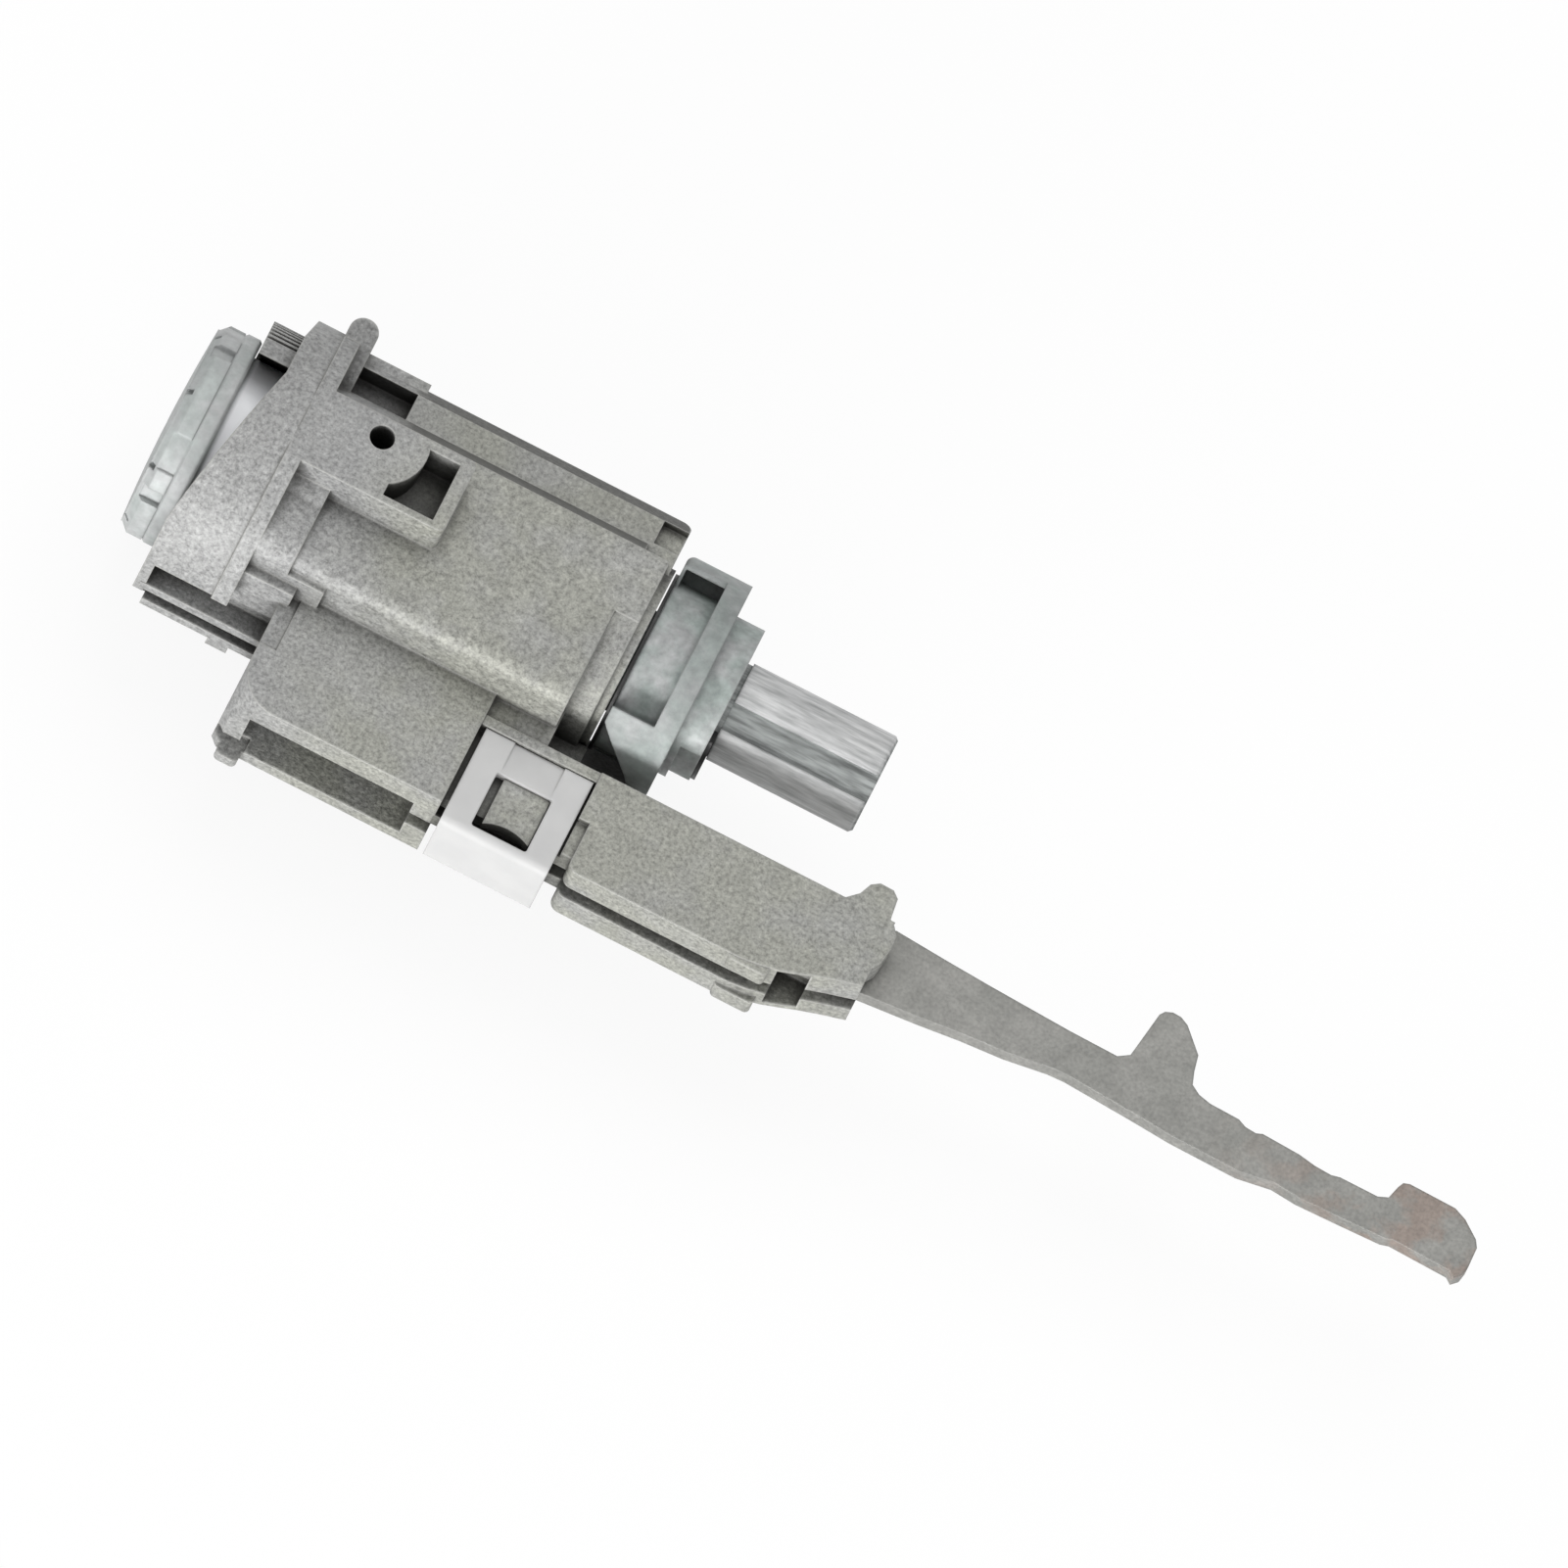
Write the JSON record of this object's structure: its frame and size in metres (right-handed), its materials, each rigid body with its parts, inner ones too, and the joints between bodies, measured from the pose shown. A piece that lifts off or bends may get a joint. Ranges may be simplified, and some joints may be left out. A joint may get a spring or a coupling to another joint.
{
  "type": "ignition lock cylinder",
  "caption": "Car ignition lock cylinder: cast housing with flange and slotted arm, key rotor, drive cam with shaft, and a long steel lock lever.",
  "frame": {"origin": "on the key axis, at the rear end of the barrel", "axes": "+X along the key axis towards the drive shaft, the carrier arm lies towards -Y, +Z square to the lever"},
  "size_m": [0.1655, 0.0493, 0.0348],
  "materials": {
    "zinc_casting": "sandy as-cast zinc",
    "bright_zinc": "bright smooth zinc",
    "lever_steel": "sintered steel",
    "spring_steel": "plain steel",
    "wafer_brass": "stamped brass",
    "white_nylon": "translucent nylon",
    "black_ring": "black plastic"
  },
  "bodies": {
    "housing": {"housing": "zinc_casting", "lever_pivot_pin": "spring_steel", "lever_clip": "white_nylon", "lever_spring": "spring_steel"},
    "rotor": {"rotor_head": "bright_zinc", "rotor_plug": "bright_zinc", "shutter_pin": "spring_steel", "shutter_spring": "spring_steel", "thrust_washer": "black_ring", "drive_cam": "bright_zinc", "retaining_ring": "black_ring", "wafer_spring_1": "spring_steel", "wafer_spring_2": "spring_steel", "wafer_spring_3": "spring_steel", "wafer_spring_4": "spring_steel", "wafer_spring_5": "spring_steel", "wafer_spring_6": "spring_steel"},
    "shutter": {"dust_shutter": "spring_steel"},
    "lever": {"lock_lever": "lever_steel"},
    "follower": {"key_follower": "spring_steel"},
    "wafer_1": {"wafer_1": "wafer_brass"},
    "wafer_2": {"wafer_2": "wafer_brass"},
    "wafer_3": {"wafer_3": "wafer_brass"},
    "wafer_4": {"wafer_4": "wafer_brass"},
    "wafer_5": {"wafer_5": "wafer_brass"},
    "wafer_6": {"wafer_6": "wafer_brass"}
  },
  "joints": [
    {"name": "key_turn", "type": "hinge", "parent": "housing", "child": "rotor", "pos_m": [0, 0, 0], "axis": [1, 0, 0], "range_deg": [0, 110]},
    {"name": "shutter_swing", "type": "hinge", "parent": "rotor", "child": "shutter", "pos_m": [-0.0525, 0.0024, 0], "axis": [0, 0, 1], "range_deg": [0, 70], "stiffness_Nm_per_rad": 0.0002, "springref_deg": -17.19},
    {"name": "lever_swing", "type": "hinge", "parent": "housing", "child": "lever", "pos_m": [0.02, -0.0206, 0], "axis": [0, 0, 1], "range_deg": [0, 2.5], "stiffness_Nm_per_rad": 0.5, "springref_deg": -4.58, "deforming": ["lever_spring"]},
    {"name": "follower_slide", "type": "slide", "parent": "housing", "child": "follower", "axis": [0, -1, 0], "range_m": [0, 0.00125]},
    {"name": "wafer_1_slide", "type": "slide", "parent": "rotor", "child": "wafer_1", "axis": [0, 0, 1], "range_m": [-0.0006, 0], "stiffness_N_per_m": 60, "springref_m": 0.003, "deforming": ["wafer_spring_1"]},
    {"name": "wafer_2_slide", "type": "slide", "parent": "rotor", "child": "wafer_2", "axis": [0, 0, 1], "range_m": [-0.0006, 0], "stiffness_N_per_m": 60, "springref_m": 0.003, "deforming": ["wafer_spring_2"]},
    {"name": "wafer_3_slide", "type": "slide", "parent": "rotor", "child": "wafer_3", "axis": [0, 0, 1], "range_m": [-0.0006, 0], "stiffness_N_per_m": 60, "springref_m": 0.003, "deforming": ["wafer_spring_3"]},
    {"name": "wafer_4_slide", "type": "slide", "parent": "rotor", "child": "wafer_4", "axis": [0, 0, 1], "range_m": [-0.0006, 0], "stiffness_N_per_m": 60, "springref_m": 0.003, "deforming": ["wafer_spring_4"]},
    {"name": "wafer_5_slide", "type": "slide", "parent": "rotor", "child": "wafer_5", "axis": [0, 0, 1], "range_m": [-0.0006, 0], "stiffness_N_per_m": 60, "springref_m": 0.003, "deforming": ["wafer_spring_5"]},
    {"name": "wafer_6_slide", "type": "slide", "parent": "rotor", "child": "wafer_6", "axis": [0, 0, 1], "range_m": [-0.0006, 0], "stiffness_N_per_m": 60, "springref_m": 0.003, "deforming": ["wafer_spring_6"]}
  ],
  "couplings": [
    {"joint": "follower_slide", "follows": "lever_swing", "m_per_rad": 0.0276}
  ]
}
